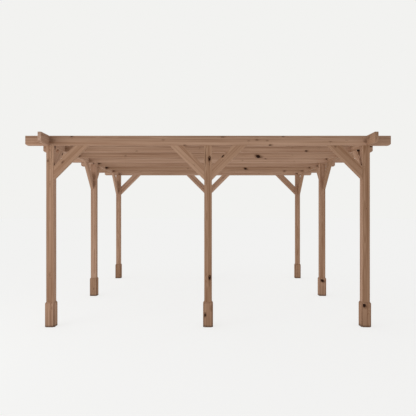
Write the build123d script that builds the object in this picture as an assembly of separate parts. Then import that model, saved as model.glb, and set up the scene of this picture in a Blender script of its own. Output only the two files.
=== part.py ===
from build123d import *
from math import sqrt
import os

# Garden pergola: eight square posts on a square plan carry a level grid of roof timbers.
# Eight rafters run along X and are halved over two side beams that run along Y.
# Knee braces stiffen every post, and each post's foot is wrapped by four boards.
# Lengths are in millimetres. Z is up, the ground is Z = 0 and the origin is mid-plan.

# Whole frame
overall_height = 2510
beam_length = 4800
beam_overhang = 275

# Roof timbers: rafters and side beams share one section
beam_thickness = 45
beam_depth = 128
beam_edge_radius = 3
beam_end_cut_length = 25
beam_end_cut_height = 19
rafter_count = 8
lap_depth_share = 0.5
lap_clearance = 0.3

# Posts
post_width = 100
post_edge_radius = 6

# Knee braces: the leg is measured along the post, and along the beam, to the lower edge
brace_thickness = 45
brace_depth = 128
brace_edge_radius = 3
brace_leg = 452

# Foot boards
foot_board_height = 325
foot_board_thickness = 15
foot_board_side_gap = 1
foot_bevel_height = 18
foot_bevel_depth = 12

# Every cut runs this far past the wood it removes
cut_overrun = 10

# Places that follow from the sizes above
post_height = overall_height - beam_depth
outer_face = beam_length / 2 - beam_overhang
post_row = outer_face - post_width / 2
beam_row = outer_face - beam_thickness / 2
brace_row = outer_face - brace_thickness / 2
rafter_pitch = 2 * beam_row / (rafter_count - 1)
rafter_places = [index * rafter_pitch - beam_row for index in range(rafter_count)]
lap_width = beam_thickness + 2 * lap_clearance
lap_level = beam_depth * lap_depth_share


def end_cut_wedge(end_side):
    """The wood sawn off the lower corner of one end of a roof timber, and a half more past it."""
    end = end_side * beam_length / 2
    past = end + end_side * beam_end_cut_length / 2
    corner = [
        (end - end_side * beam_end_cut_length * 1.5, -beam_end_cut_height / 2),
        (past, beam_end_cut_height * 1.5),
        (past, -beam_end_cut_height / 2),
    ]
    outline = Polygon(*corner, align=None)
    return extrude(Plane.XZ * outline, amount=beam_thickness, both=True)


def plain_roof_timber():
    """One timber along X: eased long edges, both lower end corners sawn off, underside at Z = 0."""
    section = RectangleRounded(beam_thickness, beam_depth, beam_edge_radius)
    timber = extrude(Plane.YZ * Pos(0, beam_depth / 2) * section, amount=beam_length / 2, both=True)
    for end_side in (-1, 1):
        timber -= end_cut_wedge(end_side)
    return timber


def lap_notch(along, bottom, top):
    """A housing across a roof timber, between two levels, that the crossing timber drops into."""
    height = top - bottom
    return Pos(along, 0, bottom + height / 2) * Box(lap_width, beam_thickness + cut_overrun, height)


def make_rafter():
    """A rafter: its lower half is cut away where it sits over each side beam."""
    rafter = plain_roof_timber()
    for place in (-beam_row, beam_row):
        rafter -= lap_notch(place, -cut_overrun, lap_level)
    return rafter


def make_side_beam():
    """A side beam: its upper half is cut away under each rafter, then it is turned along Y."""
    beam = plain_roof_timber()
    for place in rafter_places:
        beam -= lap_notch(place, lap_level, beam_depth + cut_overrun)
    return Rot(0, 0, 90) * beam


def make_post():
    """A square post with eased corners and flat ends."""
    return extrude(RectangleRounded(post_width, post_width, post_edge_radius), amount=post_height)


def make_brace():
    """A knee brace at 45 degrees, sawn to the post's face (X = 0) and the beam's underside (Z = 0)."""
    inset = brace_depth / (2 * sqrt(2))
    middle = (brace_leg / 2 - inset, 0, inset - brace_leg / 2)
    across = Plane(origin=middle, x_dir=(0, 1, 0), z_dir=(1, 0, 1))
    section = RectangleRounded(brace_thickness, brace_depth, brace_edge_radius)
    board = extrude(across * section, amount=brace_leg, both=True)
    corner = Pos(brace_leg / 2, 0, -brace_leg / 2) * Box(brace_leg, brace_thickness, brace_leg)
    return board & corner


def make_foot_boards():
    """Four boards, one on each face of a post, with a sloped top edge and open corners."""
    shoulder = foot_board_height - foot_bevel_height
    lip = foot_board_thickness - foot_bevel_depth
    profile = Polygon(
        (0, 0),
        (foot_board_thickness, 0),
        (foot_board_thickness, shoulder),
        (lip, foot_board_height),
        (0, foot_board_height),
        align=None,
    )
    half_width = post_width / 2 - foot_board_side_gap
    board = Pos(post_width / 2, 0, 0) * extrude(Plane.XZ * profile, amount=half_width, both=True)
    return Compound(children=[Rot(0, 0, turn) * board for turn in (0, 90, 180, 270)])


# Plan of the posts: three along the front, three along the back, one midway on each side
post_places = {
    "front_left": (-post_row, -post_row),
    "front_middle": (0, -post_row),
    "front_right": (post_row, -post_row),
    "left_middle": (-post_row, 0),
    "right_middle": (post_row, 0),
    "back_left": (-post_row, post_row),
    "back_middle": (0, post_row),
    "back_right": (post_row, post_row),
}

# Along each row of three posts a brace leans up from the first, both ways from the middle, and from the last
row_braces = {
    "{0}": (-post_row, 1),
    "middle_{0}": (0, -1),
    "middle_{1}": (0, 1),
    "{1}": (post_row, -1),
}

parts = {}

post = make_post()
foot_boards = make_foot_boards()
for name, (x, y) in post_places.items():
    parts["post_" + name] = Pos(x, y, 0) * post
    parts["foot_boards_" + name] = Pos(x, y, 0) * foot_boards

rafter = make_rafter()
rafter_names = ["front"] + [str(number) for number in range(2, rafter_count)] + ["back"]
for name, place in zip(rafter_names, rafter_places):
    parts["rafter_" + name] = Pos(0, place, post_height) * rafter

side_beam = make_side_beam()
for name, side in (("left", -1), ("right", 1)):
    parts["side_beam_" + name] = Pos(side * beam_row, 0, post_height) * side_beam

brace = make_brace()
for pattern, (place, heading) in row_braces.items():
    foot = place + heading * post_width / 2
    for row, side in (("front", -1), ("back", 1)):
        turn = Rot(0, 0, 90 - heading * 90)
        label = "brace_" + row + "_" + pattern.format("left", "right")
        parts[label] = Pos(foot, side * brace_row, post_height) * turn * brace
    for row, side in (("left", -1), ("right", 1)):
        turn = Rot(0, 0, heading * 90)
        label = "brace_" + row + "_" + pattern.format("front", "back")
        parts[label] = Pos(side * brace_row, foot, post_height) * turn * brace

os.makedirs("parts", exist_ok=True)
for name, shape in parts.items():
    export_step(shape, "parts/" + name + ".step")
print(len(parts), "nodes written")
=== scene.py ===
# %% [markdown]
# # A garden pergola in stained softwood
# The imported model holds the bare joinery at its real size: posts, rafters, side beams, knee braces
# and the boards round each post's foot. This lesson dresses it. Every timber is sawn again as a mesh
# with eased edges, drying cracks and knots, and gets a wood finish whose rings run through the timber
# as they do in a log. The first cell loads the joinery and a short function that reads each part's box,
# because every dressed timber takes its size from that box. The dressed model has to keep to that size.

# %% Load the joinery
import math
import random

import bmesh
import bpy
from mathutils import Matrix, Vector, noise


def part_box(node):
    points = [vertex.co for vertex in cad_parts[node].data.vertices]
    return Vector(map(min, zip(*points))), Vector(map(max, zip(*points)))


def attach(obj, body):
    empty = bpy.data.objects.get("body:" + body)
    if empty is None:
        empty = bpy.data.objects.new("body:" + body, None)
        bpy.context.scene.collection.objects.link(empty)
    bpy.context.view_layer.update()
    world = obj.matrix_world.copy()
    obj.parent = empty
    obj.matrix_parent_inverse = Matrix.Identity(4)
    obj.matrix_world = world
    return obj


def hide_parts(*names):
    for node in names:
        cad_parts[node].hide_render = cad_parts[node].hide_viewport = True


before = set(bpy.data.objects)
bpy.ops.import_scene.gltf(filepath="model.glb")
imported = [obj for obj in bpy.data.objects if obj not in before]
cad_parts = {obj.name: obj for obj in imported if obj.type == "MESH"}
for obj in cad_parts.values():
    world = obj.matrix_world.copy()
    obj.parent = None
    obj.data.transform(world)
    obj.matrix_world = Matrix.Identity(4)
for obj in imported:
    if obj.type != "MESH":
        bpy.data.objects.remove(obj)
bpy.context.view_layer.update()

# %% [markdown]
# ## The viewpoint
# The photograph is a straight front view: upright edges stay upright, and everything that runs away
# from the viewer meets at one point. So the camera is level and looks along +Y. A small lens shift,
# not a tilt, puts the eye line a little under the middle of the square picture, because a tilted
# camera would make the posts lean. Every object in this lesson is linked by the same short function.

# %% Camera
PHOTO_SIDE = 416
VANISHING_POINT = (208.06, 213.86)
EYE = Vector((0.0, -7.582, 1.4846))
SENSOR_MM = 36.0
LENS_MM = 36.0
FAR_CLIP = 500.0


def add_object(name, data):
    """A new object in the scene, at the origin."""
    made = bpy.data.objects.new(name, data)
    bpy.context.scene.collection.objects.link(made)
    return made


camera_data = bpy.data.cameras.new("front_view")
camera_data.sensor_width = SENSOR_MM
camera_data.lens = LENS_MM
camera_data.shift_x = (PHOTO_SIDE / 2 - VANISHING_POINT[0]) / PHOTO_SIDE
camera_data.shift_y = (VANISHING_POINT[1] - PHOTO_SIDE / 2) / PHOTO_SIDE
camera_data.clip_end = FAR_CLIP
camera = add_object("front_view", camera_data)
camera.location = EYE
camera.rotation_euler = (math.radians(90), 0, 0)
bpy.context.scene.camera = camera
print("camera shift:", round(camera_data.shift_x, 5), round(camera_data.shift_y, 5))

# %% [markdown]
# ## A small kit for shader nodes
# Materials are built in code below, and most lines of such code only make a node and plug things into
# it. A few short helpers keep that readable. A value that is already a socket gets linked, and anything
# else is typed into the input.

# %% Nodes and arithmetic
def plug(tree, socket, value):
    """Link a socket to an input, or type a plain value into it."""
    if isinstance(value, bpy.types.NodeSocket):
        tree.links.new(value, socket)
    else:
        socket.default_value = value


def add_node(tree, kind, inputs=None, **settings):
    """A new shader node with its settings and its named inputs filled in."""
    node = tree.nodes.new("ShaderNode" + kind)
    for key, value in settings.items():
        setattr(node, key, value)
    for name, value in (inputs or {}).items():
        plug(tree, node.inputs[name], value)
    return node


def calc(tree, operation, *values, clamp=False):
    """One step of arithmetic on values or sockets."""
    node = add_node(tree, "Math", operation=operation, use_clamp=clamp)
    for socket, value in zip(node.inputs, values):
        plug(tree, socket, value)
    return node.outputs[0]


def ramp(tree, value, low, high, to_low=0.0, to_high=1.0):
    """A smooth step: to_low at low and under, to_high at high and over."""
    inputs = {"Value": value, "From Min": low, "From Max": high, "To Min": to_low, "To Max": to_high}
    return add_node(tree, "MapRange", inputs, interpolation_type="SMOOTHSTEP").outputs["Result"]


def mix(tree, factor, first, second):
    """A colour between two colours."""
    node = add_node(tree, "Mix", data_type="RGBA")
    for socket, value in zip((node.inputs[0], node.inputs[6], node.inputs[7]), (factor, first, second)):
        plug(tree, socket, value)
    return node.outputs[2]


def introduce(title, *tools):
    """Print the helpers that a cell has made."""
    print(title + ":", ", ".join(tool.__name__ for tool in tools))


introduce("node tools", plug, add_node, calc, ramp, mix)

# %% [markdown]
# ## Distances and clouds
# Two patterns come back all the time. A distance from a branch or from the heart of a log is the long
# side over two short ones. Streaks, fibres and patches are all cloudy noise: drawn out along the grain
# it gives lines, and left even it gives spots.

# %% Pattern tools
def hypotenuse(tree, first, second):
    """The length of the long side over two short ones."""
    squares = [calc(tree, "MULTIPLY", side, side) for side in (first, second)]
    return calc(tree, "SQRT", calc(tree, "ADD", *squares))


def drawn_noise(tree, vector, stretch, detail=3.0, roughness=0.55, distortion=0.0):
    """Cloudy noise, drawn out by a different amount along each axis."""
    mapped = add_node(tree, "Mapping", {"Vector": vector, "Scale": stretch}).outputs[0]
    inputs = {"Vector": mapped, "Scale": 1.0, "Detail": detail, "Roughness": roughness,
              "Distortion": distortion}
    return add_node(tree, "TexNoise", inputs).outputs["Fac"]


def frayed(tree, distance, clouds, amount):
    """A distance whose edge is ragged, as torn wood is."""
    shift = calc(tree, "MULTIPLY_ADD", clouds, amount, -amount / 2)
    return calc(tree, "ADD", distance, shift)


introduce("pattern tools", hypotenuse, drawn_noise, frayed)

# %% [markdown]
# ## Node groups
# An effect that all the finishes share is built once, as a node group, and each finish places it with
# its own values. Copied nodes would do, but then every change would have to be made four times. A
# group's sockets belong to its interface. Inside, one node brings the values in and another takes the
# results out.

# %% Group tools
def new_group(name, inputs, outputs):
    """An empty node group with named sockets: its tree, and the sockets that bring values in."""
    tree = bpy.data.node_groups.new(name, "ShaderNodeTree")
    for in_out, sockets in (("INPUT", inputs), ("OUTPUT", outputs)):
        for label, kind in sockets.items():
            tree.interface.new_socket(label, in_out=in_out, socket_type="NodeSocket" + kind)
    return tree, tree.nodes.new("NodeGroupInput").outputs


def close_group(tree, results):
    """Wire a group's results to its outputs and hand it back, ready for use."""
    out = tree.nodes.new("NodeGroupOutput")
    for label, socket in results.items():
        tree.links.new(socket, out.inputs[label])
    print("node group", tree.name, "has", len(tree.nodes), "nodes")
    return tree


introduce("group tools", new_group, close_group)

# %% [markdown]
# ## Knots
# A knot is a branch that the trunk grew round, so it goes into the wood like a peg, and the grain parts
# and flows past it. Round painted spots would look flat. Instead every face of a timber carries an
# attribute named knot: how far a point is from its nearest branch, along and across the board, counted
# in branch radii, and how dark the branch is. This group turns that into masks: the dead heart, a
# swirl that pushes the growth rings aside, and the stain. A branch leaves its trunk upwards, so the
# stain reaches further above the heart than below it. Pale branches only stain the wood, and the very
# darkest keep a ring of bark above the heart. A minus sign stands for a stain with no branch in it.
# The same masks also lay painted shade, as dark spots in the corners of joints and beside braces.

# %% Node group: branch knots and painted shade
FRAY_STRETCH = (60, 110, 110)
HEART_LENGTH = 0.72
HEART_FRAY = 0.7
HEART_EDGE = (0.62, 1.05)
HEART_DARKNESS = (0.3, 1.0)
STAIN_ABOVE = 0.6
STAIN_BELOW = 0.85
STAIN_FRAY = 1.2
STAIN_EDGE = (0.5, 1.9)
BARK_RISE = 1.3
BARK_RADIUS = 0.95
BARK_FRAY = 0.5
BARK_EDGE = (0.1, 0.6)
BARK_SHARE = 0.7
BARK_DARKNESS = (0.96, 1.0)
SWIRL_EDGE = (0.4, 4.5)

tree, source = new_group(
    "branch_knots_and_painted_shade",
    {"Knot And Shade": "Vector", "Board": "Vector"},
    {"Heart And Shade": "Float", "Stain And Shade": "Float", "Swirl": "Float"},
)
knot_xyz = add_node(tree, "SeparateXYZ", {"Vector": source["Knot And Shade"]}).outputs
ragged = drawn_noise(tree, source["Board"], FRAY_STRETCH, detail=2.0)
along = calc(tree, "MULTIPLY", knot_xyz["X"], HEART_LENGTH)
reach = hypotenuse(tree, along, knot_xyz["Y"])
heart = ramp(tree, frayed(tree, reach, ragged, HEART_FRAY), *HEART_EDGE, 1.0, 0.0)
heart = calc(tree, "MULTIPLY", heart, ramp(tree, knot_xyz["Z"], *HEART_DARKNESS))
above = calc(tree, "MULTIPLY", calc(tree, "MAXIMUM", along, 0.0), STAIN_ABOVE)
below = calc(tree, "MULTIPLY", calc(tree, "MINIMUM", along, 0.0), STAIN_BELOW)
long_reach = hypotenuse(tree, calc(tree, "ADD", above, below), knot_xyz["Y"])
stain_and_shade = ramp(tree, frayed(tree, long_reach, ragged, STAIN_FRAY), *STAIN_EDGE, 1.0, 0.0)
above_heart = calc(tree, "SUBTRACT", knot_xyz["X"], BARK_RISE)
from_ring = calc(tree, "SUBTRACT", hypotenuse(tree, above_heart, knot_xyz["Y"]), BARK_RADIUS)
from_ring = frayed(tree, calc(tree, "ABSOLUTE", from_ring), ragged, BARK_FRAY)
bark = ramp(tree, from_ring, *BARK_EDGE, BARK_SHARE, 0.0)
bark = calc(tree, "MULTIPLY", bark, ramp(tree, knot_xyz["Z"], *BARK_DARKNESS))
swirl = ramp(tree, reach, *SWIRL_EDGE, 1.0, 0.0)
knot_and_shade_group = close_group(tree, {
    "Heart And Shade": calc(tree, "MAXIMUM", heart, bark),
    "Stain And Shade": calc(tree, "MULTIPLY", stain_and_shade, calc(tree, "ABSOLUTE", knot_xyz["Z"])),
    "Swirl": calc(tree, "MULTIPLY", swirl, calc(tree, "GREATER_THAN", knot_xyz["Z"], 0.0)),
})

# %% [markdown]
# ## The figure of the wood
# Growth rings are cylinders round the log's heart. Once the shader knows where the heart lies beside
# each board, straight lines, pointed arches and end rings all come out on the right faces. So a second
# attribute, board, holds each point's place in its own timber, measured from the heart. Far from the
# heart lies the sapwood, which is paler. The group adds streaks of darker stain and fine fibres, because
# from a few metres away those are what shows.

# %% Node group: softwood figure
WANDER_STRETCH = (0.9, 3.0, 3.0)
WANDER = 0.05
SWIRL_TURNS = 3.0
LATE_WOOD_RISE = (0.2, 0.86)
LATE_WOOD_FALL = (0.9, 1.0)
SAPWOOD_FROM = (0.095, 0.125)
STREAK_STRETCH = (0.7, 42.0, 42.0)
FIBRE_STRETCH = (4.0, 330.0, 330.0)
TONE_STRETCH = (0.4, 1.5, 1.5)

tree, source = new_group(
    "softwood_figure",
    {"Board": "Vector", "Swirl": "Float", "Ring Width": "Float"},
    {"Rings": "Float", "Sapwood": "Float", "Streaks": "Float", "Fibres": "Float", "Tone": "Float"},
)
board_xyz = add_node(tree, "SeparateXYZ", {"Vector": source["Board"]}).outputs
wander = drawn_noise(tree, source["Board"], WANDER_STRETCH, detail=2.0)
from_heart = hypotenuse(tree, board_xyz["Y"], board_xyz["Z"])
from_heart = calc(tree, "ADD", from_heart, calc(tree, "MULTIPLY", wander, WANDER))
turns = calc(tree, "DIVIDE", from_heart, source["Ring Width"])
turns = calc(tree, "MULTIPLY_ADD", source["Swirl"], SWIRL_TURNS, turns)
season = calc(tree, "FRACT", turns)
late_wood = ramp(tree, season, *LATE_WOOD_RISE)
late_wood = calc(tree, "MULTIPLY", late_wood, ramp(tree, season, *LATE_WOOD_FALL, 1.0, 0.0))
figure_group = close_group(tree, {
    "Rings": late_wood,
    "Sapwood": ramp(tree, from_heart, *SAPWOOD_FROM),
    "Streaks": drawn_noise(tree, source["Board"], STREAK_STRETCH,
                           detail=4.0, roughness=0.62, distortion=0.3),
    "Fibres": drawn_noise(tree, source["Board"], FIBRE_STRETCH, roughness=0.65),
    "Tone": drawn_noise(tree, source["Board"], TONE_STRETCH, detail=1.0),
})

# %% [markdown]
# ## Weather and handling
# Out of doors the edges lose their stain first, saw cuts across the grain drink it and turn darker, and
# drying cracks are painted dark, partly as dirt and partly as painted shade in the groove. The timbers
# also turn darker towards the top of the roof and, in patches, towards the ground. The third attribute,
# marks, says which faces are cracks, edges and end grain. This group lays those five effects, one after
# another, over the colour of the clean timber.

# %% Node group: weather and handling
PATCH_STRETCH = (14.0, 14.0, 14.0)
WORN_PATCHES = (0.4, 0.65)
WORN_SHARE = 0.2
END_SHARE = 0.15
TOP_DARKENING_LEVELS = (2.40, 2.52)
TOP_DARKENING_SHARE = 0.25
LOW_DARKENING_SHARE = 0.8
FAINT_LOW_DARKENING_SHARE = 0.12
FAINT_LOW_DARKENING_RISE = 5.0
LOWEST_REACH = 0.3

tree, source = new_group(
    "weather_and_handling",
    {"Clean": "Color", "Marks": "Vector", "Place": "Vector", "Low Darkening Height": "Float", "Crack": "Color",
     "End Grain": "Color", "Worn Edge": "Color", "Darkening": "Color"},
    {"Color": "Color", "Wear": "Float"},
)
mark_xyz = add_node(tree, "SeparateXYZ", {"Vector": source["Marks"]}).outputs
height_up = add_node(tree, "SeparateXYZ", {"Vector": source["Place"]}).outputs["Z"]
patchy = drawn_noise(tree, source["Place"], PATCH_STRETCH)
wear = calc(tree, "MULTIPLY", mark_xyz["Y"], ramp(tree, patchy, *WORN_PATCHES))
low_darkening_reach = calc(tree, "MULTIPLY", source["Low Darkening Height"], calc(tree, "ADD", patchy, LOWEST_REACH))
faint_low_darkening_top = calc(tree, "MULTIPLY", low_darkening_reach, FAINT_LOW_DARKENING_RISE)
faint_low_darkening = ramp(tree, height_up, 0.0, faint_low_darkening_top, FAINT_LOW_DARKENING_SHARE, 0.0)
low_darkening = calc(tree, "MAXIMUM", faint_low_darkening, ramp(tree, height_up, 0.0, low_darkening_reach, LOW_DARKENING_SHARE, 0.0))
# Both darkenings by height, at the top of the roof and at the ground, share one brown.
effects = (
    ("End Grain", calc(tree, "MULTIPLY", mark_xyz["Z"], END_SHARE)),
    ("Worn Edge", calc(tree, "MULTIPLY", wear, WORN_SHARE)),
    ("Darkening", ramp(tree, height_up, *TOP_DARKENING_LEVELS, 0.0, TOP_DARKENING_SHARE)),
    ("Darkening", low_darkening),
    ("Crack", mark_xyz["X"]),
)
weathered = source["Clean"]
for colour, mask in effects:
    weathered = mix(tree, mask, weathered, source[colour])
weather_group = close_group(tree, {"Color": weathered, "Wear": wear})

# %% [markdown]
# ## Colours
# Colours are easiest to judge as a paint chart gives them, from 0 to 255. A shader wants linear light
# instead, so a short function converts them. The two stains are the palest and the deepest brown that
# clean wood takes.

# %% Stain, knot, shade and darkening colours
def srgb(red, green, blue):
    """A colour as a paint chart gives it, 0 to 255, in the linear values that shaders use."""
    shares = [level / 255 for level in (red, green, blue)]
    return tuple(s / 12.92 if s <= 0.04045 else ((s + 0.055) / 1.055) ** 2.4 for s in shares) + (1.0,)


LIGHT_STAIN = srgb(199, 163, 138)
DARK_STAIN = srgb(142, 103, 77)
# The knot colours also paint spots of painted shade; the crack colour is dirt and painted shade.
KNOT_HEART_AND_SHADE = srgb(38, 14, 5)
KNOT_STAIN_AND_SHADE = srgb(100, 66, 40)
CRACK_DIRT_AND_SHADE = srgb(30, 18, 12)
END_GRAIN = srgb(112, 80, 60)
WORN_EDGE = srgb(186, 156, 132)
DARKENING_BROWN = srgb(84, 64, 50)
print("light stain in linear light:", [round(level, 3) for level in LIGHT_STAIN])

# %% [markdown]
# ## The colour of clean timber
# Rings, streaks and fibres each push the wood from the light stain to the dark one, and sapwood pulls
# it back. A fourth attribute says how light or dark a timber came out of the stain, because no two logs
# drink alike, and on some faces it also carries painted light and painted shade. Dark wood also looks a
# little stronger in colour. Knots and spots of painted shade go on top.

# %% Clean timber
STREAK_EDGE = (0.36, 0.72)
FIBRE_SHARE = 0.22
TONE_EDGE = (0.3, 0.7)
TONE_SHARE = 0.1
KNOT_STAIN_AND_SHADE_SHARE = 0.9
STRENGTH_AT_ZERO = 1.43
STRENGTH_LOSS = 0.4


def clean_colour(tree, figure, knots_and_shade, ring_share, streak_share, sapwood_share):
    """The stained colour, with its painted light and shade, before any weather, from the groups' masks."""
    depth = calc(tree, "MULTIPLY", figure["Rings"], ring_share)
    depth = calc(tree, "MULTIPLY_ADD", ramp(tree, figure["Streaks"], *STREAK_EDGE), streak_share, depth)
    depth = calc(tree, "MULTIPLY_ADD", figure["Fibres"], FIBRE_SHARE, depth)
    depth = calc(tree, "MULTIPLY_ADD", figure["Sapwood"], -sapwood_share, depth)
    tone = ramp(tree, figure["Tone"], *TONE_EDGE, -TONE_SHARE, TONE_SHARE)
    depth = calc(tree, "ADD", depth, tone, clamp=True)
    uptake_and_painted_light = add_node(tree, "Attribute", attribute_name="uptake_and_painted_light").outputs["Fac"]
    stained = add_node(tree, "HueSaturation", {
        "Color": mix(tree, depth, LIGHT_STAIN, DARK_STAIN), "Value": uptake_and_painted_light,
        "Saturation": calc(tree, "MULTIPLY_ADD", uptake_and_painted_light, -STRENGTH_LOSS, STRENGTH_AT_ZERO)}).outputs["Color"]
    stained = mix(tree, calc(tree, "MULTIPLY", knots_and_shade["Stain And Shade"], KNOT_STAIN_AND_SHADE_SHARE), stained, KNOT_STAIN_AND_SHADE)
    return mix(tree, knots_and_shade["Heart And Shade"], stained, KNOT_HEART_AND_SHADE)


introduce("colour recipe", clean_colour)

# %% [markdown]
# ## The stained finish
# One recipe makes the finish, and each kind of timber has its own mix of it: roof timbers are straight
# planks, posts hold the heart of the log, foot boards are short offcuts. The attributes come in on the
# left, the groups turn them into masks, and the shader holds the numbers that never change.

# %% Materials
LAYERS = ("board", "knot", "marks")
BUMP_STRENGTH = 0.5
BASE_ROUGHNESS = 0.62
FIBRE_ROUGHNESS = 0.2
WORN_POLISH = 0.12
GLOSS = 0.12


def wood_finish(name, ring_width, low_darkening_height, relief, **shares):
    """Stained softwood from board, knot, marks and uptake attributes, with painted light and shade."""
    material = bpy.data.materials.new(name)
    material.use_nodes = True
    tree = material.node_tree
    board, knot, marks = [add_node(tree, "Attribute", attribute_name=layer).outputs["Vector"]
                          for layer in LAYERS]
    place = add_node(tree, "TexCoord").outputs["Object"]
    knots_and_shade = add_node(tree, "Group", {"Knot And Shade": knot, "Board": board}, node_tree=knot_and_shade_group).outputs
    figure = add_node(tree, "Group", {
        "Board": board, "Swirl": knots_and_shade["Swirl"], "Ring Width": ring_width}, node_tree=figure_group).outputs
    weather = add_node(tree, "Group", {
        "Clean": clean_colour(tree, figure, knots_and_shade, **shares), "Marks": marks, "Place": place,
        "Low Darkening Height": low_darkening_height, "Crack": CRACK_DIRT_AND_SHADE, "End Grain": END_GRAIN,
        "Worn Edge": WORN_EDGE, "Darkening": DARKENING_BROWN}, node_tree=weather_group).outputs
    height = calc(tree, "ADD", figure["Fibres"], figure["Rings"])
    height = calc(tree, "SUBTRACT", height, knots_and_shade["Heart And Shade"])
    bump = add_node(tree, "Bump", {"Height": height, "Strength": BUMP_STRENGTH, "Distance": relief})
    rough = calc(tree, "MULTIPLY_ADD", figure["Fibres"], FIBRE_ROUGHNESS, BASE_ROUGHNESS)
    rough = calc(tree, "MULTIPLY_ADD", weather["Wear"], -WORN_POLISH, rough)
    shader = tree.nodes["Principled BSDF"]
    plug(tree, shader.inputs["Base Color"], weather["Color"])
    plug(tree, shader.inputs["Roughness"], rough)
    plug(tree, shader.inputs["Normal"], bump.outputs["Normal"])
    plug(tree, shader.inputs["Specular IOR Level"], GLOSS)
    return material


finishes = {
    "beams": wood_finish("stained_roof_timber", ring_width=0.0065, low_darkening_height=0.05, relief=0.0006,
                         ring_share=0.30, streak_share=0.55, sapwood_share=0.06),
    "posts": wood_finish("stained_post", ring_width=0.0075, low_darkening_height=0.05, relief=0.0006,
                         ring_share=0.32, streak_share=0.50, sapwood_share=0.20),
    "braces": wood_finish("stained_brace", ring_width=0.0065, low_darkening_height=0.05, relief=0.0006,
                          ring_share=0.30, streak_share=0.50, sapwood_share=0.20),
    "foot_boards": wood_finish("stained_foot_board", ring_width=0.0055, low_darkening_height=0.06, relief=0.0008,
                               ring_share=0.30, streak_share=0.60, sapwood_share=0.20),
}
print("finishes:", ", ".join(material.name for material in finishes.values()))

# %% [markdown]
# ## Sawing a timber
# A timber is modelled in its own frame: length along X, thickness along Y, depth along Z, with its
# middle at zero. It starts as a cube stretched to size. A saw cut is bisect_plane, which throws away
# what lies beyond a plane, and a fill that closes the cut. A trial timber goes through this and the
# next cells, so that each tool shows what it does.

# %% Squaring up and sawing
TOUCH = 1e-5


def whole(bm):
    """Everything in a bmesh, as operators want it."""
    return bm.verts[:] + bm.edges[:] + bm.faces[:]


def square_up(length, thickness, depth):
    """A fresh timber, centred, with room for its attributes and a flag for crack faces."""
    bm = bmesh.new()
    bm.faces.layers.int.new("crack")
    bm.loops.layers.float.new("uptake_and_painted_light")
    for layer in LAYERS:
        bm.loops.layers.float_vector.new(layer)
    bmesh.ops.create_cube(bm, size=1.0)
    bmesh.ops.scale(bm, vec=(length, thickness, depth), verts=bm.verts)
    return bm


def saw_off(bm, point, outward):
    """Saw through a timber and drop what lies on the outward side."""
    cut = bmesh.ops.bisect_plane(bm, geom=whole(bm), dist=TOUCH, plane_co=point, plane_no=outward,
                                 clear_outer=True)["geom_cut"]
    bmesh.ops.edgeloop_fill(bm, edges=[item for item in cut if isinstance(item, bmesh.types.BMEdge)])


trial_half = Vector((0.45, 0.0225, 0.064))
trial = square_up(1.0, 2 * trial_half.y, 2 * trial_half.z)
for end in (-1, 1):
    saw_off(trial, (end * trial_half.x, 0, 0), (end, 0, 0))
print("trial timber:", len(trial.faces), "faces,", round(trial.calc_volume() * 1e6), "cubic centimetres")

# %% [markdown]
# ## Easing the edges
# Nobody leaves a sawn edge sharp where a hand may touch it. A bevel rounds the long edges and the ends,
# and it picks them by where they lie, so that cuts in the middle of a timber stay crisp.

# %% Eased edges
SHARP = math.radians(20)


def ease_edges(bm, half, radius, segments=3):
    """Round over the long edges and the sawn ends."""
    def is_outer(vert):
        return abs(abs(vert.co.y) - half.y) < TOUCH and abs(abs(vert.co.z) - half.z) < TOUCH
    def is_arris(edge):
        if edge.calc_face_angle(0.0) < SHARP:
            return False
        near = min(abs(vert.co.x) for vert in edge.verts)
        runs_long = abs(edge.verts[0].co.x - edge.verts[1].co.x) > TOUCH
        return runs_long and all(is_outer(v) for v in edge.verts) or near > half.x
    bmesh.ops.bevel(bm, geom=[e for e in bm.edges if is_arris(e)], offset=radius, offset_type="OFFSET",
                    segments=segments, profile=0.5, affect="EDGES", clamp_overlap=True, material=-1)


ease_edges(trial, trial_half - Vector((TOUCH * 2, 0, 0)), 0.003)
print("trial timber, eased:", len(trial.faces), "faces")

# %% [markdown]
# ## Half-laps
# Where two roof timbers cross, each loses half its depth. Lines are scored round the joint, the skin of
# the waste is deleted, and three fills close its two walls and its floor. A Boolean would do too, but it
# leaves long thin triangles behind.

# %% Scoring and housing
def score(bm, place, axis=0, faces=None):
    """Draw a line round a timber, or over some of its faces, and cut nothing away."""
    outward = Vector([float(index == axis) for index in range(3)])
    geom = whole(bm)
    if faces is not None:
        geom = list(dict.fromkeys(part for face in faces for part in (face, *face.edges, *face.verts)))
    bmesh.ops.bisect_plane(bm, geom=geom, dist=TOUCH, plane_co=outward * place, plane_no=outward)


def cut_half_lap(bm, along, width, side):
    """House out half the depth, from below (side -1) or above (side 1), for a crossing timber."""
    walls = (along - width / 2, along + width / 2)
    for place in walls:
        score(bm, place)
    score(bm, 0.0, axis=2)
    waste = [f for f in bm.faces if abs(f.calc_center_median().x - along) < width / 2 - TOUCH
             and f.calc_center_median().z * side > TOUCH]
    bmesh.ops.delete(bm, geom=waste, context="FACES")
    for place in walls:
        rim = [e for e in bm.edges if e.is_boundary and all(abs(v.co.x - place) < TOUCH for v in e.verts)]
        corners = list(dict.fromkeys(v for e in rim for v in e.verts if abs(v.co.z) < TOUCH))
        sill = bmesh.ops.contextual_create(bm, geom=corners)["edges"]
        bmesh.ops.edgeloop_fill(bm, edges=rim + sill)
    bmesh.ops.edgeloop_fill(bm, edges=[e for e in bm.edges if e.is_boundary])


cut_half_lap(trial, 0.2, 2 * trial_half.y, -1)
print("trial timber, housed:", sum(not e.is_manifold for e in trial.edges), "open edges")

# %% [markdown]
# ## Drying cracks
# Outside wood dries faster than inside wood, so it splits along the grain. A dark line in the texture
# would vanish in a raking light, so each crack is a real groove: three lines are scored on one face,
# the middle one is sunk, and all three wander and close up towards the ends.

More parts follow.
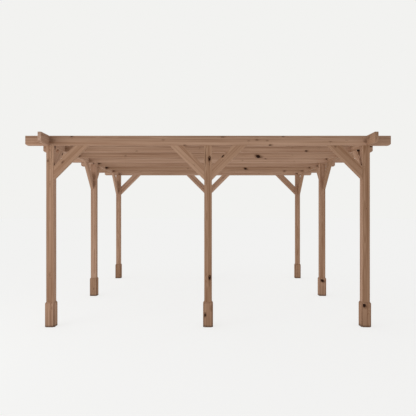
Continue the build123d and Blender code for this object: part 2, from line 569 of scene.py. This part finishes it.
# %% Cracks
CRACK_STEP = 0.035
CRACK_WAVES = 7.0
CRACK_DRIFT = 1.2
CRACK_TAPER = 0.7
FLAT = 0.99
MAINLY = 0.5


def across_on(facing):
    """The axis, 1 or 2, that runs across the grain on a face that looks one way."""
    return 1 if abs(facing.z) > MAINLY else 2


def open_crack(bm, facing, start, end, lateral, width, depth, seed):
    """Sink a tapered groove into the face that looks one way, along the grain from start to end."""
    other = across_on(facing)
    def flat_faces(half_band):
        return [f for f in bm.faces if f.normal.dot(facing) > FLAT
                and start - TOUCH < f.calc_center_median().x < end + TOUCH
                and abs(f.calc_center_median()[other] - lateral) < half_band]
    for place in (start, end):
        score(bm, place, faces=[f for f in bm.faces if f.normal.dot(facing) > FLAT])
    for shift in (-width / 2, 0.0, width / 2):
        score(bm, lateral + shift, axis=other, faces=flat_faces(1.0))
    steps = max(4, round((end - start) / CRACK_STEP))
    for step in range(1, steps):
        score(bm, start + (end - start) * step / steps, faces=flat_faces(width / 2))
    groove = flat_faces(width / 2)
    crack_flag = bm.faces.layers.int["crack"]
    for face in groove:
        face[crack_flag] = 1
    points = list(dict.fromkeys(vert for face in groove for vert in face.verts))
    for vert in points:
        share = min(max((vert.co.x - start) / (end - start), 0.0), 1.0)
        taper = math.sin(math.pi * share) ** CRACK_TAPER if 0.0 < share < 1.0 else 0.0
        offset = vert.co[other] - lateral
        drift = noise.noise(Vector((vert.co.x * CRACK_WAVES, seed, 0.0))) * width * CRACK_DRIFT * taper
        vert.co[other] = lateral + drift + offset * taper
        if abs(offset) < width / 4:
            vert.co -= facing * depth * taper
    tips = [v for v in points if min(abs(v.co.x - start), abs(v.co.x - end)) < TOUCH]
    bmesh.ops.remove_doubles(bm, verts=tips, dist=width)
    bm.normal_update()


open_crack(trial, Vector((0, 1, 0)), -0.3, 0.0, 0.01, 0.002, 0.004, 1)
crack_flag = trial.faces.layers.int["crack"]
print("trial timber, cracked:", sum(face[crack_flag] for face in trial.faces), "faces in the groove")

# %% [markdown]
# ## Rubbed edges
# Carrying and knocks leave dents along a timber's corners. Sculpting them by hand would be a long job.
# Instead the points of the rounded corners move a little inwards wherever a slow noise runs high, and
# each of the four corners follows its own lane of that noise.

# %% Dents
DENT_DEPTH = 0.0022
DENT_WAVES = 5.0
DENT_FROM = 0.1
CORNER_SHARE = 0.9
LANES = (3.0, 7.0)


def rub_edges(bm, half, radius, seed):
    """Dent the rounded corners here and there."""
    for vert in bm.verts:
        inset_y, inset_z = half.y - abs(vert.co.y), half.z - abs(vert.co.z)
        if max(inset_y, inset_z) < radius * CORNER_SHARE:
            lane = math.copysign(LANES[0], vert.co.y), math.copysign(LANES[1], vert.co.z) + seed
            swell = noise.noise(Vector((vert.co.x * DENT_WAVES, *lane)))
            dent = max(0.0, swell - DENT_FROM) * DENT_DEPTH
            vert.co.y -= math.copysign(dent, vert.co.y)
            vert.co.z -= math.copysign(dent, vert.co.z)
    bm.normal_update()


unworn = trial.calc_volume()
rub_edges(trial, trial_half, 0.003, 1)
print("trial timber, rubbed: lost", round((unworn - trial.calc_volume()) * 1e9), "cubic millimetres")

# %% [markdown]
# ## Giving a timber its grain
# This step writes the attributes that the finish reads. Every branch owns the stretch of timber nearest
# to it, so lines are scored halfway between branches first, and each face then belongs to one branch
# only. The heart of the log is a line beside or inside the board. Each timber also starts at another
# place in an endless plank, which is all it takes for no two of them to look alike.

# %% Grain
NO_KNOT = Vector((60.0, 60.0, 0.0))
PLANK_STEP = 7.3
SECTION_STEP = 0.16
SLANTED = 0.2
LEVEL = 0.3


def score_sections(bm, half, knots_and_shade):
    """Score between branches, and at even steps, so that faces are short enough to bend and dent."""
    places = sorted(knot["along"] for knot in knots_and_shade)
    lines = [(first + second) / 2 for first, second in zip(places, places[1:])]
    count = max(2, round(2 * half.x / SECTION_STEP))
    lines += [half.x * (2 * step / count - 1) for step in range(1, count)]
    for place in lines:
        score(bm, place)


def write_grain(bm, knots_and_shade, heart, plank_start, pierces, share=1.0):
    """Store each corner's place in its log, how far its knot or painted shade is, and what happened to it.
    """
    board, knot_layer, marks = [bm.loops.layers.float_vector[layer] for layer in LAYERS]
    uptake_and_painted_light = bm.loops.layers.float["uptake_and_painted_light"]
    crack_flag = bm.faces.layers.int["crack"]
    for face in bm.faces:
        middle, normal = face.calc_center_median(), face.normal
        is_end = abs(normal.x) > MAINLY
        slants = [abs(part) > SLANTED for part in normal]
        is_edge = slants[1] and (slants[0] or slants[2])
        knot = min(knots_and_shade, key=lambda k: abs(k["along"] - middle.x)) if knots_and_shade and not is_end else None
        if knot and not pierces and normal.dot(knot["facing"]) < -MAINLY:
            knot = None
        if knot and pierces and abs(knot["facing"].z) > MAINLY and abs(normal.z) < LEVEL:
            knot = None
        for loop in face.loops:
            point = loop.vert.co
            loop[board] = (point.x + plank_start, point.y - heart[0], point.z - heart[1])
            loop[marks] = (float(face[crack_flag]), float(is_edge), float(is_end))
            loop[knot_layer] = NO_KNOT
            # A share below one darkens the board as painted shade.
            loop[uptake_and_painted_light] = share
            if knot:
                across = point[across_on(knot["facing"])] - knot["lateral"]
                offset = Vector((point.x - knot["along"], across))
                offset.rotate(knot["lean"])
                loop[knot_layer] = (*(offset / knot["radius"]), knot["darkness"])


write_grain(trial, [], (0.05, 0.0), 0.0, pierces=True)
print("trial timber has", *trial.loops.layers.float_vector.keys(), *trial.loops.layers.float.keys())
trial.free()

# %% [markdown]
# ## Branches by chance
# Every timber grew branches, and most of them may fall anywhere. The chance is seeded with the timber's
# number, so it always falls the same way. A branch too close to one that is already there is dropped.

# %% Knots by chance
UPRIGHT = Matrix.Identity(2)
KNOT_REACH = 0.92
KNOT_MARGIN = 0.75
KNOT_SPACING = 0.18
SMALL_KNOT = (0.004, 0.010)
PALE_KNOT = (0.15, 0.55)


def chance_knots(rng, half, count, sides, knots_and_shade):
    """Add branches by seeded chance, clear of the ones that are already there."""
    for _ in range(count):
        facing = Vector(rng.choice(sides))
        along = rng.uniform(-KNOT_REACH, KNOT_REACH) * half.x
        lateral = rng.uniform(-KNOT_MARGIN, KNOT_MARGIN) * half[across_on(facing)]
        knot = {"along": along, "lateral": lateral, "facing": facing, "lean": UPRIGHT,
                "radius": rng.uniform(*SMALL_KNOT), "darkness": rng.uniform(*PALE_KNOT)}
        if all(abs(along - there["along"]) > KNOT_SPACING for there in knots_and_shade):
            knots_and_shade.append(knot)
    return knots_and_shade


trial_knots = chance_knots(random.Random("trial"), trial_half, 7, [(0, 1, 0)], [])
print("trial timber would get", len(trial_knots), "of 7 knots")

# %% [markdown]
# ## Shades of stain
# Measured on the photograph, the timbers sort into eight shades, and the few that it doesn't show get
# theirs by chance. Three posts get painted light on one side and one post painted shade on one side,
# and one side beam gets painted light on its ends, by shares for faces that go with them.

# %% Shades by timber
UP = Vector((0, 0, 1))
FRONT = Vector((0, -1, 0))
BACK = Vector((0, 1, 0))
LEFT = Vector((-1, 0, 0))
RIGHT = Vector((1, 0, 0))
SHADES = {
    1.14: ("side_beam_left", "rafter_4", "rafter_back", "post_left_middle", "brace_back_left",
           "brace_back_middle_left", "brace_back_middle_right"),
    1.08: ("rafter_front", "rafter_2", "rafter_5", "brace_left_front", "brace_left_middle_front",
           "brace_left_back", "foot_boards_front_left", "foot_boards_right_middle"),
    1.02: ("rafter_3", "rafter_7", "post_back_left", "brace_right_front", "brace_back_right"),
    0.96: ("side_beam_right", "post_right_middle", "post_back_right", "brace_front_middle_left",
           "brace_left_middle_back", "foot_boards_front_middle"),
    0.91: ("rafter_6", "post_front_left", "brace_front_left", "brace_front_middle_right",
           "brace_right_middle_back", "foot_boards_left_middle"),
    0.86: ("post_front_middle", "brace_front_right", "foot_boards_front_right", "foot_boards_back_right"),
    0.81: ("post_front_right", "brace_right_back", "foot_boards_back_left"),
    0.73: ("brace_right_middle_front",),
}
SHADE_OF = {node: shade for shade, nodes in SHADES.items() for node in nodes}
UNSEEN_SHADE = (0.92, 1.08)
SAME_WAY = 0.7
PAINTED_LIGHT_ON_FACES = {
    "post_front_left": (RIGHT, 1.2), "post_front_right": (LEFT, 1.32), "post_right_middle": (LEFT, 1.08),
    "post_left_middle": (RIGHT, 0.90), "side_beam_left": (FRONT, 1.28),
}
print("timbers with a shade:", len(SHADE_OF), "of", len(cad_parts))

# %% [markdown]
# ## Putting a timber in its place
# A finished timber moves from its own frame to its place in the roof by one matrix, whose columns are
# the directions of its length, thickness and depth. The move goes into the mesh, and the object stays
# at the origin.


def lay(middle, length_way, depth_way):
    """The move that brings a timber from its own frame to its place."""
    turn = Matrix((length_way, depth_way.cross(length_way), depth_way)).transposed()
    return Matrix.Translation(middle) @ turn.to_4x4()


def along_axis(way):
    """A direction without the rounding errors of a turn."""
    return Vector([float(round(part)) for part in way])


def middle_and_size(node):
    """The middle of a node's box, and its size."""
    low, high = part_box(node)
    return (low + high) / 2, high - low


def hand_over(node, slot, bm):
    bmesh.ops.recalc_face_normals(bm, faces=bm.faces)
    uptake_and_painted_light = bm.loops.layers.float["uptake_and_painted_light"]
    tone = SHADE_OF.get(node, random.Random(node).uniform(*UNSEEN_SHADE))
    way, share = PAINTED_LIGHT_ON_FACES.get(node, (UP, 1.0))
    for face in bm.faces:
        # Faces that look the listed way get their share: painted light above one, painted shade below one.
        face_tone_and_light = tone * share if abs(face.normal.dot(way)) > SAME_WAY else tone
        for loop in face.loops:
            loop[uptake_and_painted_light] *= face_tone_and_light
    mesh = bpy.data.meshes.new("wood_" + node)
    bm.to_mesh(mesh)
    bm.free()
    mesh.materials.append(finishes[slot])
    piece = add_object("wood_" + node, mesh)
    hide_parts(node)
    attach(piece, "root")


def tell_faces(title, nodes):
    """Prints nothing: the faces of the finished pieces are not counted."""


introduce("placing tools", lay, along_axis, middle_and_size, hand_over, tell_faces)

# %% [markdown]
# ## Branches, and painted shade, that the picture shows
# Most knots may fall by chance, but nearly fifty are plain to see in the photograph. They are listed here
# by timber, and with them spots of painted shade: a dark spot of a knot's long shape stands for the shade
# where a rafter meets a side beam, where a brace meets its post or shades it, and in the corners of a foot.
# On front faces a place is told across and up, in metres, with the radius, how dark the spot is and, where
# its long shape doesn't follow the grain, how many degrees it is turned anticlockwise. Some spots of
# painted shade have a dark heart, and a minus sign marks those with none. Entries on other faces need all
# three numbers and the way the face looks.

# %% Knots and painted shade by timber
SEEN_KNOTS_AND_SHADE = {
    "post_front_middle": [(0.018, 2.200, 0.0155, 1.0), (0.0215, 0.641, 0.0155, 1.0)],
    "post_front_left": [(-2.101, 2.179, 0.011, 0.55)],
    # On the middle and back left posts, the pairs of spots are a painted shadow of a brace.
    "post_left_middle": [(-2.078, 2.020, 0.030, -0.6), (-2.078, 2.150, 0.030, -0.6)],
    "post_back_left": [(-2.078, 2.030, 0.030, -0.5), (-2.078, 2.170, 0.030, -0.5)],
    # The second spot on the front middle foot is painted shade in its right corner.
    "foot_boards_front_middle": [(-0.040, 0.158, 0.015, 0.95), (0.048, 0.245, 0.020, -0.5)],
    "foot_boards_front_right": [(2.038, 0.289, 0.025, 0.95, 50)],
    "foot_boards_right_middle": [(2.067, 0.276, 0.025, 0.95, 55)],
    "brace_front_middle_right": [(0.193, 2.244, 0.0125, 0.95), (0.235, 2.272, 0.010, 0.35)],
    "brace_front_left": [(-1.909, 2.162, 0.012, 0.55)],
    "brace_front_right": [(1.668, 2.368, 0.011, 0.50)],
    # Entries near 2.07 across, on either side, are painted shade where the rafter meets a side beam.
    "rafter_front": [(-2.074, 2.445, 0.026, -0.6), (-1.789, 2.500, 0.009, 0.7), (-0.590, 2.455, 0.009, 0.4),
                     (-0.308, 2.386, 0.008, 0.5), (0.190, 2.496, 0.013, 0.5), (0.530, 2.442, 0.008, 0.4),
                     (0.638, 2.455, 0.011, 0.5), (0.775, 2.446, 0.009, 0.45), (0.815, 2.386, 0.012, 0.65),
                     (0.983, 2.499, 0.009, 0.6), (2.074, 2.438, 0.018, -0.6), (2.210, 2.446, 0.050, -0.25),
                     (2.340, 2.446, 0.050, -0.25)],
    "rafter_2": [(-2.070, 2.420, 0.022, 0.40), (1.428, 2.400, 0.012, 0.85), (2.370, 2.466, 0.012, 0.85)],
    "rafter_3": [(-2.070, 2.411, 0.014, 0.60), (0.801, 2.403, 0.028, 0.95, -20)],
    "rafter_4": [(-2.065, 2.407, 0.020, 0.40), (1.001, 2.445, 0.010, 0.60), (2.068, 2.440, 0.014, 0.60)],
    "rafter_5": [(-2.062, 2.438, 0.017, 0.65), (2.068, 2.388, 0.016, 0.55)],
    "rafter_6": [(-2.064, 2.423, 0.020, 0.85), (0.761, 2.403, 0.021, 0.95, -20),
                 (2.066, 2.426, 0.018, 0.50)],
    "rafter_7": [(-2.060, 2.418, 0.016, 0.55), (1.660, 2.416, 0.016, 0.60), (2.040, 2.425, 0.017, 0.45)],
    "rafter_back": [(-2.065, 2.410, 0.018, 0.40), (2.060, 2.433, 0.018, 0.70)],
}
INTO_CORNER = Vector((0, -1, 1)).normalized()
# Most of these spots are painted shade in the corners where braces, posts and beams meet.
OTHER_KNOTS_AND_SHADE = {
    "post_front_left": [((-2.025, -2.075, 2.374), RIGHT, 0.018, 0.95),
                        ((-2.025, -2.105, 2.136), RIGHT, 0.013, 0.6)],
    "post_front_right": [((2.025, -2.092, 2.133), LEFT, 0.013, 0.6),
                         ((2.025, -2.068, 2.165), LEFT, 0.012, -0.7),
                         ((2.025, -2.052, 2.215), LEFT, 0.012, -0.7)],
    "brace_left_front": [((-2.080, -1.642, 2.334), RIGHT, 0.014, 0.8)],
    "brace_right_front": [((2.100, -1.757, 2.379), INTO_CORNER, 0.030, 0.95),
                          ((2.105, -1.825, 2.311), INTO_CORNER, 0.030, -0.9)],
    "side_beam_left": [((-2.080, 0.865, 2.421), RIGHT, 0.018, 0.95),
                       ((-2.080, -0.029, 2.403), RIGHT, 0.018, 0.7)],
    "side_beam_right": [((2.080, -2.206, 2.470), LEFT, 0.012, 0.5),
                        ((2.080, 0.085, 2.412), LEFT, 0.015, 0.4)],
}


def seen_knot(placement, place, way, radius, darkness, lean=0.0):
    """A branch, or a spot of painted shade, at a place in the garden, turned into the timber's own frame."""
    point = placement.inverted() @ place
    facing = along_axis(placement.to_3x3().inverted() @ way)
    return {"along": point.x, "lateral": point[across_on(facing)], "facing": facing, "radius": radius,
            "darkness": darkness, "lean": Matrix.Rotation(math.radians(-lean), 2)}


def knots_seen_on(node, placement):
    """The listed branches and spots of painted shade of one timber."""
    front_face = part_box(node)[0].y
    found = [seen_knot(placement, Vector((x, front_face, z)), FRONT, *looks)
             for x, z, *looks in SEEN_KNOTS_AND_SHADE.get(node, [])]
    return found + [seen_knot(placement, Vector(place), *looks)
                    for place, *looks in OTHER_KNOTS_AND_SHADE.get(node, [])]


listed = list(SEEN_KNOTS_AND_SHADE.values()) + list(OTHER_KNOTS_AND_SHADE.values())
print("listed knots and stains:", sum(len(spots) for spots in listed))

# %% [markdown]
# ## Roof timbers
# Eight rafters and two side beams share one section, and each has its lower end corners sawn off. They
# lock together by half-laps: a rafter is housed from below, a side beam from above. The planks were
# sawn beside the heart of the log, so their wide faces show long arches. Both ends have a short crack.
# An Array modifier would repeat one rafter eight times, knots and all, so a function makes each anew.

# %% Rafters and side beams
BEAM_EDGE = 0.003
END_CUT_LENGTH = 0.025
END_CUT_HEIGHT = 0.019
PAST_END_CUT = 1.1
LAP_CLEARANCE = 0.0003
WIDE_SIDES = [(0, 1, 0), (0, -1, 0)]
ROOF_KNOTS = 7
END_CRACK_INSET = (0.04, 0.12)
END_CRACK_LENGTH = (0.12, 0.2)
END_CRACK_WIDTH = (0.0012, 0.0022)
END_CRACK_DEPTH = 0.004
END_CRACK_SPREAD = (-0.5, 0.5)
ROOF_HEART_ASIDE = (0.03, 0.06)
ROOF_HEART_UP = (0.01, 0.05)


def nodes_named(start, key=None):
    """The joinery's nodes of one kind, in order."""
    return sorted((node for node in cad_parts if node.startswith(start)), key=key)


def make_roof_timber(node, number, length_way, crossings, lap_side):
    """Saw, house, ease, crack and place one roof timber."""
    rng = random.Random("roof" + str(number))
    middle, size = middle_and_size(node)
    length, thickness, depth = size.dot(length_way), min(size.x, size.y), size.z
    half = Vector((length, thickness, depth)) / 2
    placement = lay(middle, length_way, UP)
    bm = square_up(length, thickness, depth)
    for end in (-1, 1):
        start = Vector((end * (half.x - END_CUT_LENGTH), 0, -half.z))
        saw_off(bm, start, (end * END_CUT_HEIGHT, 0, -END_CUT_LENGTH))
    ease_edges(bm, Vector((half.x - END_CUT_LENGTH * PAST_END_CUT, half.y, half.z)), BEAM_EDGE)
    for along in crossings:
        cut_half_lap(bm, along, thickness + 2 * LAP_CLEARANCE, lap_side)
    knots_and_shade = chance_knots(rng, half, ROOF_KNOTS, WIDE_SIDES, knots_seen_on(node, placement))
    score_sections(bm, half, knots_and_shade)
    for end in (-1, 1):
        tip = end * (half.x - rng.uniform(*END_CRACK_INSET))
        root = tip - end * rng.uniform(*END_CRACK_LENGTH)
        facing = Vector(rng.choice(WIDE_SIDES))
        open_crack(bm, facing, min(tip, root), max(tip, root), rng.uniform(*END_CRACK_SPREAD) * half.z,
                   rng.uniform(*END_CRACK_WIDTH), END_CRACK_DEPTH, number)
    rub_edges(bm, half, BEAM_EDGE, number)
    heart = (rng.choice((-1, 1)) * rng.uniform(*ROOF_HEART_ASIDE), rng.uniform(*ROOF_HEART_UP))
    write_grain(bm, knots_and_shade, heart, number * PLANK_STEP, pierces=True)
    bmesh.ops.transform(bm, matrix=placement, verts=bm.verts)
    hand_over(node, "beams", bm)


rafters = nodes_named("rafter_", key=lambda n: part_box(n)[0].y)
side_beams = nodes_named("side_beam_", key=lambda n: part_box(n)[0].x)
rafter_rows = [middle_and_size(node)[0].y for node in rafters]
side_rows = [middle_and_size(node)[0].x for node in side_beams]
for number, node in enumerate(rafters):
    make_roof_timber(node, number, RIGHT, side_rows, -1)
for number, node in enumerate(side_beams, len(rafters)):
    make_roof_timber(node, number, BACK, rafter_rows, 1)
tell_faces("roof timbers", rafters + side_beams)

# %% [markdown]
# ## Posts
# A post is a squared log with the heart near its middle, so it dries unevenly and always splits. Each
# one gets two long cracks by chance, and the three in front also those that the photograph shows. A
# subdivision surface would round its corners too, but it swells the faces, and a bevel keeps them flat.

# %% Posts
POST_EDGE = 0.006
POST_SIDES = WIDE_SIDES + [(0, 0, 1), (0, 0, -1)]
POST_KNOTS = 5
POST_CRACK_START = (-0.6, 0.2)
POST_CRACK_LENGTH = (0.35, 0.8)
POST_CRACK_WIDTH = (0.0015, 0.003)
POST_CRACK_DEPTH = 0.009
POST_CRACK_SPREAD = (-0.4, 0.4)
NEXT_CRACK = 20
POST_HEART = (-0.02, 0.02)
FIRST_POST_PLANK = 20
SEEN_CRACK_DEPTH = 0.008
# The groove on the left face of the front right post is darkened as a line of painted shade.
SEEN_CRACKS_AND_SHADE = {
    "post_front_middle": [(FRONT, 0.0165, 2.105, 2.19, 0.0045), (FRONT, 0.019, 0.52, 0.64, 0.0025),
                          (FRONT, -0.033, 2.09, 2.37, 0.0040)],
    "post_front_right": [(LEFT, -2.040, 2.15, 2.26, 0.0060)],
    "post_front_left": [(FRONT, -2.054, 2.16, 2.36, 0.0025)],
}


def make_post(node, number):
    """Square up, ease, crack and place one post."""
    rng = random.Random("post" + str(number))
    middle, size = middle_and_size(node)
    half = Vector((size.z, size.x, size.y)) / 2
    placement = lay(middle, UP, BACK)
    bm = square_up(size.z, size.x, size.y)
    ease_edges(bm, half, POST_EDGE, segments=4)
    knots_and_shade = chance_knots(rng, half, POST_KNOTS, POST_SIDES, knots_seen_on(node, placement))
    score_sections(bm, half, knots_and_shade)
    for way, across, low, high, width in SEEN_CRACKS_AND_SHADE.get(node, []):
        foot = placement.inverted() @ Vector((across, across, low))
        facing = placement.to_3x3().inverted() @ way
        lateral = foot.y if way == FRONT else foot.z
        open_crack(bm, facing, foot.x, foot.x + high - low, lateral, width, SEEN_CRACK_DEPTH, number)
    for index, side in enumerate(rng.sample(POST_SIDES[:3], 2)):
        start = rng.uniform(*POST_CRACK_START) * half.x
        end = start + rng.uniform(*POST_CRACK_LENGTH)
        open_crack(bm, Vector(side), start, end, rng.uniform(*POST_CRACK_SPREAD) * half.y,
                   rng.uniform(*POST_CRACK_WIDTH), POST_CRACK_DEPTH, number + NEXT_CRACK * index)
    rub_edges(bm, half, POST_EDGE, number)
    heart = (rng.uniform(*POST_HEART), rng.uniform(*POST_HEART))
    write_grain(bm, knots_and_shade, heart, (FIRST_POST_PLANK + number) * PLANK_STEP, pierces=False)
    bmesh.ops.transform(bm, matrix=placement, verts=bm.verts)
    hand_over(node, "posts", bm)


posts = nodes_named("post_")
for number, node in enumerate(posts):
    make_post(node, number)
tell_faces("posts", posts)

# %% [markdown]
# ## Knee braces
# A brace is a short plank that leans at 45 degrees from a post to the roof and is mitred at both ends. It
# could be drawn as an outline and extruded, but sawing keeps its grain along its length: it starts too
# long, and two cuts through the corner of post and beam bring it to length. The heart of the log lies
# near its upper edge, so the lower edge is sapwood and shows as a paler strip.

# %% Braces
BRACE_HEART_ASIDE = (0.02, 0.04)
BRACE_HEART_UP = (0.035, 0.05)
FIRST_BRACE_PLANK = 30


def make_brace(node, number, depth):
    """Saw, ease and place one knee brace."""
    rng = random.Random("brace" + str(number))
    words = node.split("_")
    heading = RIGHT if words[1] in ("front", "back") else BACK
    if (words[-1] in ("left", "front")) == ("middle" in words):
        heading = -heading
    middle, size = middle_and_size(node)
    leg, thickness = size.z, min(size.x, size.y)
    half = Vector((leg / math.sqrt(2), thickness / 2, depth / 2))
    corner = middle - heading * leg / 2 + UP * leg / 2
    rise = leg / math.sqrt(2) - depth / 2
    length_way, depth_way = (heading + UP).normalized(), (UP - heading).normalized()
    placement = lay(corner - depth_way * rise, length_way, depth_way)
    bm = square_up(2 * half.x, thickness, depth)
    for end in (-1, 1):
        saw_off(bm, (0, 0, rise), (end, 0, 1))
    ease_edges(bm, half, BEAM_EDGE)
    knots_and_shade = chance_knots(rng, half, 1, WIDE_SIDES, knots_seen_on(node, placement))
    score_sections(bm, half, knots_and_shade)
    rub_edges(bm, half, BEAM_EDGE, number)
    heart = (rng.choice((-1, 1)) * rng.uniform(*BRACE_HEART_ASIDE), rng.uniform(*BRACE_HEART_UP))
    write_grain(bm, knots_and_shade, heart, (FIRST_BRACE_PLANK + number) * PLANK_STEP, pierces=True)
    bmesh.ops.transform(bm, matrix=placement, verts=bm.verts)
    hand_over(node, "braces", bm)


braces = nodes_named("brace_")
plank_depth = middle_and_size(rafters[0])[1].z
for number, node in enumerate(braces):
    make_brace(node, number, plank_depth)
tell_faces("braces", braces)

# %% [markdown]
# ## Foot boards
# Four short boards wrap the foot of every post. Their top edge slopes outwards to shed rain. One square
# ring would be quicker, but it would lose the open corners, so each board is sawn in its own frame, stood
# against one face of the post and joined with the other three. Easing so thin a board leaves a few faces
# without area, which are dissolved.

# %% Foot boards
FOOT_SIDE_GAP = 0.001
FOOT_SLOPE = Vector((0.018, 0, 0.012))
FOOT_EDGE = 0.0015
FOOT_HEART_ASIDE = (-0.03, 0.03)
FOOT_HEART_DEEP = (0.03, 0.06)
FIRST_FOOT_PLANK = 50
EVEN_SHARES = (1.0, 1.0, 1.0, 1.0)
# The right side board of the front middle foot, and a little its left one, get painted shade.
BOARD_PAINTED_SHADE = {"foot_boards_front_middle": (1.0, 0.8, 1.0, 0.95)}


def make_foot_board(node, number, side, post_size, share):
    """One board in its place on one face of a post, as a mesh to be joined with the others."""
    rng = random.Random("foot" + str(number) + str(tuple(side)))
    middle, size = middle_and_size(node)
    thickness = (size.x - post_size.x) / 2
    half = Vector((size.z, post_size.x - 2 * FOOT_SIDE_GAP, thickness)) / 2
    placement = lay(middle + side * (post_size.x + thickness) / 2, UP, side)
    bm = square_up(2 * half.x, 2 * half.y, 2 * half.z)
    saw_off(bm, (half.x - FOOT_SLOPE.x, 0, half.z), (FOOT_SLOPE.z, 0, FOOT_SLOPE.x))
    ease_edges(bm, Vector((half.x - TOUCH * 2, half.y, half.z)), FOOT_EDGE, segments=2)
    bmesh.ops.dissolve_degenerate(bm, dist=TOUCH, edges=bm.edges)
    knots_and_shade = knots_seen_on(node, placement) if side == FRONT else []
    knots_and_shade = knots_and_shade or chance_knots(rng, half, 1, [(0, 0, 1)], [])
    score_sections(bm, half, knots_and_shade)
    rub_edges(bm, half, FOOT_EDGE, number)
    heart = (rng.uniform(*FOOT_HEART_ASIDE), -rng.uniform(*FOOT_HEART_DEEP))
    plank_start = (FIRST_FOOT_PLANK + number) * PLANK_STEP + rng.random()
    write_grain(bm, knots_and_shade, heart, plank_start, pierces=True, share=share)
    bmesh.ops.transform(bm, matrix=placement, verts=bm.verts)
    board_mesh = bpy.data.meshes.new("one_foot_board")
    bm.to_mesh(board_mesh)
    bm.free()
    return board_mesh


foot_sets = nodes_named("foot_boards_")
for number, node in enumerate(foot_sets):
    post_size = middle_and_size(node.replace("foot_boards", "post"))[1]
    joined = bmesh.new()
    for turn, share in enumerate(BOARD_PAINTED_SHADE.get(node, EVEN_SHARES)):
        side = along_axis(Matrix.Rotation(turn * math.pi / 2, 3, "Z") @ FRONT)
        board_mesh = make_foot_board(node, number, side, post_size, share)
        joined.from_mesh(board_mesh)
        bpy.data.meshes.remove(board_mesh)
    hand_over(node, "foot_boards", joined)
tell_faces("foot boards", foot_sets)

# %% [markdown]
# ## Floor
# The picture is lit like a catalogue page: an even dome, a floor that melts into the background and
# only a breath of shadow round each foot. A floor that mostly glows by itself gives that, and its light
# from below also lifts the undersides of the roof. It looks plainly white in the picture but must not
# flood the timbers, so a Light Path node shows the camera a brighter floor than the timbers get.

# %% Pale floor
FLOOR_TINT = srgb(243, 243, 242)
FLOOR_REACH = 120.0
FLOOR_SEEN = 1.13
FLOOR_GIVEN = 0.80
SHADOW_SHARE = 0.29


def show_mix(tree, share, first, second, output):
    """Mix two shaders by a share, and send the result to a material's or a world's output."""
    both = add_node(tree, "MixShader", {"Fac": share})
    tree.links.new(first.outputs[0], both.inputs[1])
    tree.links.new(second.outputs[0], both.inputs[2])
    tree.links.new(both.outputs[0], add_node(tree, output).inputs["Surface"])


floor_bm = bmesh.new()
bmesh.ops.create_grid(floor_bm, x_segments=1, y_segments=1, size=FLOOR_REACH)
floor_mesh = bpy.data.meshes.new("pale_floor")
floor_bm.to_mesh(floor_mesh)
floor_bm.free()
floor = add_object("pale_floor", floor_mesh)

floor_finish = bpy.data.materials.new("pale_floor")
floor_finish.use_nodes = True
tree = floor_finish.node_tree
tree.nodes.clear()
to_camera = add_node(tree, "LightPath").outputs["Is Camera Ray"]
glow_strength = calc(tree, "MULTIPLY_ADD", to_camera, FLOOR_SEEN - FLOOR_GIVEN, FLOOR_GIVEN)
glow = add_node(tree, "Emission", {"Color": FLOOR_TINT, "Strength": glow_strength})
matt = add_node(tree, "BsdfDiffuse", {"Color": FLOOR_TINT})
show_mix(tree, SHADOW_SHARE, glow, matt, "OutputMaterial")
floor_mesh.materials.append(floor_finish)
print("floor:", 2 * FLOOR_REACH, "m wide")

# %% [markdown]
# ## Dome and softbox
# The dome is brighter on the left, and a large soft lamp at the front left helps it. The camera sees a
# plain backdrop in place of the dome. Blender's own view transform would grey the white page, so the
# standard one takes its place.

# %% Light
BACKDROP = srgb(242, 242, 240)
DOME_EVEN = 0.68
DOME_LEFT = 0.6
SOFTBOX_PLACE = Vector((-4.5, -4.5, 2.5))
SOFTBOX_AIM = Vector((0.0, 0.0, 1.4))
SOFTBOX_SIDE = 2.5
SOFTBOX_WATTS = 30.0

dome = bpy.data.worlds.new("studio_dome")
dome.use_nodes = True
tree = dome.node_tree
tree.nodes.clear()
way = add_node(tree, "SeparateXYZ", {"Vector": add_node(tree, "TexCoord").outputs["Generated"]}).outputs["X"]
to_left = calc(tree, "MAXIMUM", calc(tree, "MULTIPLY", way, -1.0), 0.0)
soft = add_node(tree, "Background", {"Strength": calc(tree, "MULTIPLY_ADD", to_left, DOME_LEFT, DOME_EVEN)})
bright = add_node(tree, "Background", {"Color": BACKDROP})
show_mix(tree, add_node(tree, "LightPath").outputs["Is Camera Ray"], soft, bright, "OutputWorld")
bpy.context.scene.world = dome

lamp = bpy.data.lights.new("front_left_softbox", "AREA")
lamp.size = SOFTBOX_SIDE
lamp.energy = SOFTBOX_WATTS
softbox = add_object("front_left_softbox", lamp)
softbox.visible_camera = False
softbox.location = SOFTBOX_PLACE
softbox.rotation_euler = (SOFTBOX_AIM - SOFTBOX_PLACE).to_track_quat("-Z", "Y").to_euler()
bpy.context.scene.view_settings.view_transform = "Standard"
print("light: a bright dome and a softbox of", SOFTBOX_WATTS, "W")
